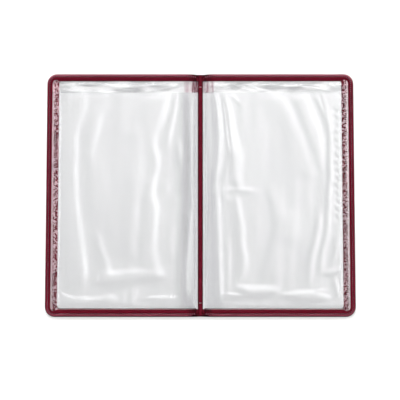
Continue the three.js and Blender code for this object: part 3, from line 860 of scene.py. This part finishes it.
def tape_painted_light(paint, place):
    """Paints light and shade on the tape along its UV map, in millimetres: a painted highlight on its crest,
    full along the top and a little along the bottom, painted shade in its groove, on its rolled edge and
    inner half, and near black painted shade in its needle holes."""
    tree = paint.id_data
    up = add_node(tree, "SeparateXYZ", Vector=place["Object"]).outputs["Y"]
    seam = add_node(tree, "SeparateXYZ", Vector=place["UV"]).outputs
    turn = maths("FRACT", maths("MULTIPLY_ADD", seam["X"], 1 / STITCH_PITCH, 0.5))
    along = maths("MULTIPLY_ADD", turn, STITCH_PITCH, -STITCH_PITCH / 2)
    across = maths("SUBTRACT", seam["Y"], SEAM_INSET)
    off = add_node(tree, "CombineXYZ", X=along, Y=across).outputs[0]
    from_hole = add_node(tree, "VectorMath", operation="LENGTH")
    feed(off, from_hole.inputs[0])
    from_crest = maths("ABSOLUTE", maths("SUBTRACT", seam["Y"], CREST_INSET))
    at_bottom = ranged(up, -0.17, -0.183, 0.1, 0.55)
    at_end = maths("MAXIMUM", ranged(up, 0.17, 0.183, 0.1, 1.0), at_bottom)
    # Painted highlight along the crest, full on the top tape and about half on the bottom
    painted_light = maths("MULTIPLY", ranged(from_crest, 1.5, 0.7), at_end)
    paint = mixed(painted_light, paint, PAINTED_CREST_HIGHLIGHT)
    # Painted shade on the inner half and on the rolled edge, the rolled edge darker on the sides
    inner_half = ranged(across, 0.6, 2.6, 0.0, 0.55)
    rolled_edge = ranged(seam["Y"], 2.4, 0.3, 0.0, 0.75)
    more_at_sides = maths("MULTIPLY_ADD", at_end, -0.85, 1.2)
    rolled_edge = maths("MULTIPLY", rolled_edge, more_at_sides)
    paint = mixed(maths("MAXIMUM", inner_half, rolled_edge), paint, BINDING_DEEP)
    # Painted shade in the stitch groove
    groove = ranged(maths("ABSOLUTE", across), 1.25, 0.7, 0.0, 0.8)
    paint = mixed(groove, paint, BINDING_DEEP)
    # Near black painted shade in the needle holes
    return mixed(ranged(from_hole.outputs["Value"], 1.1, 0.7), paint, HOLE_SHADE)


binding_leatherette = grained_leatherette(
    "binding_leatherette", BINDING_BURGUNDY, BINDING_DEEP, 0.42, 0.035, 0.14, tape_painted_light
)
right_tape, outer = tape("right_binding_tape", 0, seam_length, 0.775)
points = points_of(right_tape)
s, u, z = points.T
top_corner = top_run + corner_run / 2
bottom_corner = top_corner + corner_run + side_run
gathered = 0.4 * bell(s - top_corner, 14) + bell(s - bottom_corner, 24)
points[:, 2] += stitched_groove(s, u, z, gathered) * outer
points, depth = at_spine(follow_edge(points), outer)
set_points(right_tape, points)
mark_painted_shade(right_tape, depth)
smooth(right_tape, 60)
set_up_pair(right_tape, binding_leatherette, "edge_binding")

# Tape across the creases and over the spine's ends
# The same folded tape runs on past both creases, so that the cover's edge is bound from corner to corner.
# It is caught under the padded strip's ends.
SPINE_TAPE_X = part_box("spine_top_binding")[1].x / MM
for end_name, end in {"top": 1, "bottom": -1}.items():
    runs = {
        "spine": (-SPINE_TAPE_X, SPINE_TAPE_X),
        "left": (-TAPE_END_X, -SPINE_TAPE_X),
        "right": (SPINE_TAPE_X, TAPE_END_X),
    }
    for place, (x0, x1) in runs.items():
        piece, outer = tape(f"{place}_{end_name}_tape", x0, x1, 0.26)
        points = points_of(piece)
        s, u, z = points.T
        points[:, 2] += stitched_groove(np.abs(s) - TAPE_END_X, u, z, 0.0) * outer
        points, depth = at_spine(np.stack([s, end * (HALF_HEIGHT - u), points[:, 2]], axis=1), outer)
        set_points(piece, points)
        mark_painted_shade(piece, depth)
        if end < 0:
            edit_faces(piece, bpy.ops.mesh.flip_normals)
        smooth(piece, 60)
        dress(piece, binding_leatherette)
        if place == "spine":
            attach(piece, "spine")
            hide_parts(f"spine_{end_name}_binding")
        else:
            turn_on_crease(piece, place)

# Stitching
# Lockstitch in burgundy thread, 3.1 mm to the stitch: a row through the binding and one that closes each
# pocket's side. Each stitch shows as a short length of thread with its ends pulled down into the holes.
THREAD_RADIUS = 0.48
STITCH_LENGTH = 1.6
BORDER_SEAM_X = HALF_WIDTH - 13.2
BORDER_SEAM_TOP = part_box("right_border_needle_thread")[1].y / MM
BORDER_SEAM_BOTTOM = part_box("right_border_needle_thread")[0].y / MM


def thread_fibre(name, colour):
    """Three-ply polyester thread, with the slanting lines of its twist."""
    material, tree, shader = new_material(name)
    shader.inputs["Roughness"].default_value = 0.45
    shader.inputs["Specular IOR Level"].default_value = 0.3
    place = add_node(tree, "TexCoord").outputs["Object"]
    wave = add_node(tree, "TexWave", bands_direction="DIAGONAL", Vector=place, Scale=900.0, Distortion=1.5)
    plies = wave.outputs["Fac"]
    feed(mixed(plies, shaded(colour, 0.45), colour), shader.inputs["Base Color"])
    bump = add_node(tree, "Bump", Strength=0.5, Distance=0.06 * MM, Height=plies)
    feed(bump.outputs["Normal"], shader.inputs["Normal"])
    return material


def stitch_row(name, length):
    """A straight row of stitches along X, from 0 to the length, at height 0."""
    count = int(length / STITCH_PITCH)
    deselect_all()
    bpy.ops.mesh.primitive_uv_sphere_add(segments=8, ring_count=6, radius=1)
    row = bpy.context.object
    row.name = row.data.name = name
    points = points_of(row) * MM
    half = STITCH_LENGTH / 2
    reach = points[:, 2] * half
    y = points[:, 0] * THREAD_RADIUS
    z = points[:, 1] * THREAD_RADIUS - 0.3 * (np.abs(reach) / half) ** 3
    set_points(row, np.stack([reach + STITCH_PITCH / 2, y, z], axis=1))
    edit_faces(row, bpy.ops.mesh.normals_make_consistent, inside=False)
    apply_modifier(
        row, "ARRAY", fit_type="FIXED_COUNT", count=count, use_relative_offset=False,
        use_constant_offset=True, constant_offset_displace=(STITCH_PITCH * MM, 0, 0),
    )
    smooth(row, 80)
    return row


# The burgundy thread is given a pale pink colour: painted highlight on each stitch
thread = thread_fibre("stitching_thread", (0.75, 0.3, 0.38, 1.0))
for kind, height, up in (("needle", TAPE_TOP - 0.32, 1), ("bobbin", 0.32, -1)):
    row = stitch_row(f"right_edge_{kind}_stitches", seam_length)
    points = points_of(row)
    points[:, 1] = SEAM_INSET + points[:, 1]
    points[:, 2] = height + up * points[:, 2]
    laid, _ = at_spine(follow_edge(points), np.zeros(len(points)))
    set_points(row, laid)
    set_up_pair(row, thread, f"edge_{kind}_thread")
pale_thread = thread_fibre("border_thread", (0.95, 0.72, 0.76, 1.0))
for kind, height, up in (("needle", SHEETS_TOP + 0.25, 1), ("bobbin", BORDER_Z[0] - 0.1, -1)):
    row = stitch_row(f"right_border_{kind}_stitches", BORDER_SEAM_TOP - BORDER_SEAM_BOTTOM)
    s, off, z = points_of(row).T
    set_points(row, np.stack([BORDER_SEAM_X + off, BORDER_SEAM_TOP - s, height + up * z], axis=1))
    set_up_pair(row, pale_thread, f"border_{kind}_thread")

# Spine strips
# The front strip is leatherette wrapped round a soft cord, so it stands up full between the leaves.
# The back strip is flat. Both are welded through the sheets' margins, and their ends lap over the tape.
STRIP_HALF_WIDTH = 3.45
STRIP_HALF_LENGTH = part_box("spine_front_strip")[1].y / MM
STRIP_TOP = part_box("spine_front_strip")[1].z / MM
STRIP_FOOT = SHEETS_TOP + 0.02
STRIP_WALL = 0.45
BACK_STRIP_HALF_WIDTH = 3.9
BACK_STRIP_TOP = 0.76
TACK_Y = (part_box("spine_top_tack")[0].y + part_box("spine_top_tack")[1].y) / 2 / MM
front_strip = flat_grid(
    "spine_padded_strip",
    np.sin(np.linspace(-math.pi / 2, math.pi / 2, 25)) * STRIP_HALF_WIDTH,
    spaced((-STRIP_HALF_LENGTH, 0), (-160, 0.6), (160, 2), (STRIP_HALF_LENGTH, 0.6)),
)
outer_count = len(front_strip.data.vertices)
apply_modifier(front_strip, "SOLIDIFY", thickness=STRIP_WALL * MM, offset=-1)
x, y, z = points_of(front_strip).T
upper = np.arange(len(x)) < outer_count
from_end = STRIP_HALF_LENGTH - np.abs(y)
lap = ease((9.5 - from_end) / 3.5)
crown = np.sqrt(np.clip(1 - (x / STRIP_HALF_WIDTH) ** 2, 0, 1))
foot = STRIP_FOOT + (TAPE_TOP + 0.02 - STRIP_FOOT) * lap
full = STRIP_TOP - 0.06 - foot - STRIP_WALL
wrinkle = 0.05 * ripple(x * 2, y, 3, 9) - 0.45 * bell(np.abs(y) - TACK_Y, 1.1)
rounded_end = np.sqrt(np.clip(1 - np.clip(1 - from_end / 1.6, 0, 1) ** 2, 0, 1))
z = foot + STRIP_WALL + z + upper * crown * (full * rounded_end + wrinkle)
narrow = 1 - 0.17 * lap - 0.1 * bell(np.abs(y) - TACK_Y, 1.6)
set_points(front_strip, np.stack([x * narrow, y, z], axis=1))
# Painted shade on the padded strip's sides, darker towards their edges
mark_painted_shade(front_strip, ease((np.abs(x) / STRIP_HALF_WIDTH - 0.35) / 0.5) * 0.55)
smooth(front_strip, 60)
strip_leatherette = grained_leatherette(
    "strip_leatherette", (0.175, 0.007, 0.022, 1.0), (0.04, 0.001, 0.003, 1.0), 0.4, 0.035, 0.12
)
set_up(front_strip, strip_leatherette, "spine", "spine_front_strip")

back_strip = block(
    "spine_flat_strip", -BACK_STRIP_HALF_WIDTH, BACK_STRIP_HALF_WIDTH, -STRIP_HALF_LENGTH,
    STRIP_HALF_LENGTH, 0.0, BACK_STRIP_TOP,
)
apply_modifier(back_strip, "BEVEL", width=0.3 * MM, segments=3, limit_method="ANGLE")
smooth(back_strip)
set_up(back_strip, strip_leatherette, "spine", "spine_back_strip")

# Bar tacks
# Six short overlapping stitches across the padded strip near each end, pulled tight into it.
# They hold the strip's ends down on the tape.
TACK_STITCHES = 6
TACK_HEIGHT = 3.96
# Pale pink thread colour: painted highlight on each bar tack
tack_thread = thread_fibre("tack_thread", (0.9, 0.6, 0.65, 1.0))
for end_name, end in {"top": 1, "bottom": -1}.items():
    tack = stitch_row(f"spine_{end_name}_bar_tack", TACK_STITCHES * STITCH_PITCH + 0.1)
    s, off, z = points_of(tack).T
    number = np.floor(s / STITCH_PITCH)
    along = s - (number + 0.5) * STITCH_PITCH
    x = -1.5 + 0.6 * number + 0.7 * off
    y = end * TACK_Y + 0.42 * along + 0.3 * off
    set_points(tack, np.stack([x, y, TACK_HEIGHT + 0.8 * z], axis=1))
    set_up(tack, tack_thread, "spine", f"spine_{end_name}_tack")

# Table, lamps and camera
# A white table under soft studio light, looked down on from just below the cover's bottom edge.
CAMERA_DISTANCE = 3.411
CAMERA_TILT = math.radians(9.65)
PICTURE_SIDE = 400
FOCAL_PIXELS = 2236.4
PICTURE_CENTRE = (200.35, 194.59)
BACKDROP_GLOW = 0.28
LAMP_DISTANCE = 9.0
WORLD_FILL = 0.012


def table_white():
    """Matt white that shows as the white background and still takes the cover's shadow."""
    material, tree, shader = new_material("table_white")
    tree.nodes.remove(shader)
    rays = add_node(tree, "LightPath").outputs
    seen = maths("MAXIMUM", rays["Is Camera Ray"], rays["Is Glossy Ray"])
    matt = add_node(tree, "BsdfDiffuse", Color=(0.8, 0.8, 0.8, 1.0))
    lit = add_node(tree, "Emission", Strength=maths("MULTIPLY", seen, BACKDROP_GLOW))
    both = add_node(tree, "AddShader")
    feed(matt.outputs[0], both.inputs[0])
    feed(lit.outputs[0], both.inputs[1])
    feed(both.outputs[0], tree.nodes["Material Output"].inputs["Surface"])
    return material


deselect_all()
bpy.ops.mesh.primitive_plane_add(size=30, location=(0, 0, -0.00005))
table = bpy.context.object
table.name = "table"
table.data.materials.append(table_white())


def softbox(name, tilt_x, tilt_y, width, length, radiance, even):
    """An area lamp facing the cover, seen from there at these angles off straight up. It is evenly bright
    over that share of its radius and fades from there to its edge."""
    lamp = bpy.data.lights.new(name, "AREA")
    lamp.shape = "RECTANGLE"
    lamp.size = width
    lamp.size_y = length
    lamp.energy = 4 * width * length
    lamp.use_nodes = True
    off = add_node(lamp.node_tree, "VectorMath", operation="DISTANCE")
    feed(add_node(lamp.node_tree, "NewGeometry").outputs["Parametric"], off.inputs[0])
    feed((0.5, 0.5, 0.0), off.inputs[1])
    level = ranged(off.outputs["Value"], 0.5, even / 2, 0.0, radiance)
    feed(level, lamp.node_tree.nodes["Emission"].inputs["Strength"])
    holder = bpy.data.objects.new(name, lamp)
    bpy.context.scene.collection.objects.link(holder)
    back = Vector((math.tan(math.radians(tilt_x)), math.tan(math.radians(tilt_y)), 1)).normalized()
    right = Vector((0, 1, 0)).cross(back).normalized()
    holder.matrix_world = Matrix((right, back.cross(right), back)).transposed().to_4x4()
    holder.location = back * LAMP_DISTANCE
    holder.visible_camera = False


softbox("ceiling_scrim", 8, 13, 6.6, 6.6, 0.75, 0.5)
softbox("right_softbox", 21.5, 16, 7.8, 8.0, 4.6, 0.15)
softbox("left_softbox", -31, 8, 3.0, 6.0, 4.4, 0.3)
softbox("far_softbox", 0, 27.5, 5.6, 4.6, 4.2, 0.25)
softbox("key_softbox", -10, 58, 5.0, 3.0, 33.0, 0.2)

world = bpy.data.worlds.new("studio")
bpy.context.scene.world = world
world.use_nodes = True
background = world.node_tree.nodes["Background"]
background.inputs["Color"].default_value = (1.0, 1.0, 1.0, 1.0)
rays = add_node(world.node_tree, "LightPath").outputs
way_up = add_node(world.node_tree, "TexCoord").outputs["Generated"]
height = add_node(world.node_tree, "SeparateXYZ", Vector=way_up).outputs["Z"]
ceiling = ranged(height, 0.6, 0.84, 0.95, 0.01, way="LINEAR")
seen = maths("MAXIMUM", rays["Is Camera Ray"], rays["Is Glossy Ray"])
seen = maths("MAXIMUM", seen, rays["Is Transmission Ray"])
feed(ranged(seen, 0.0, 1.0, WORLD_FILL, ceiling, way="LINEAR"), background.inputs["Strength"])

camera_data = bpy.data.cameras.new("camera")
camera = bpy.data.objects.new("camera", camera_data)
bpy.context.scene.collection.objects.link(camera)
camera_data.sensor_width = 36
camera_data.lens = FOCAL_PIXELS / PICTURE_SIDE * camera_data.sensor_width
camera_data.shift_x = (PICTURE_SIDE / 2 - PICTURE_CENTRE[0]) / PICTURE_SIDE
camera_data.shift_y = (PICTURE_CENTRE[1] - PICTURE_SIDE / 2) / PICTURE_SIDE
camera.location = (0, -CAMERA_DISTANCE * math.sin(CAMERA_TILT), CAMERA_DISTANCE * math.cos(CAMERA_TILT))
camera.rotation_euler = (CAMERA_TILT, 0, 0)
bpy.context.scene.camera = camera
bpy.context.scene.view_settings.view_transform = "Standard"
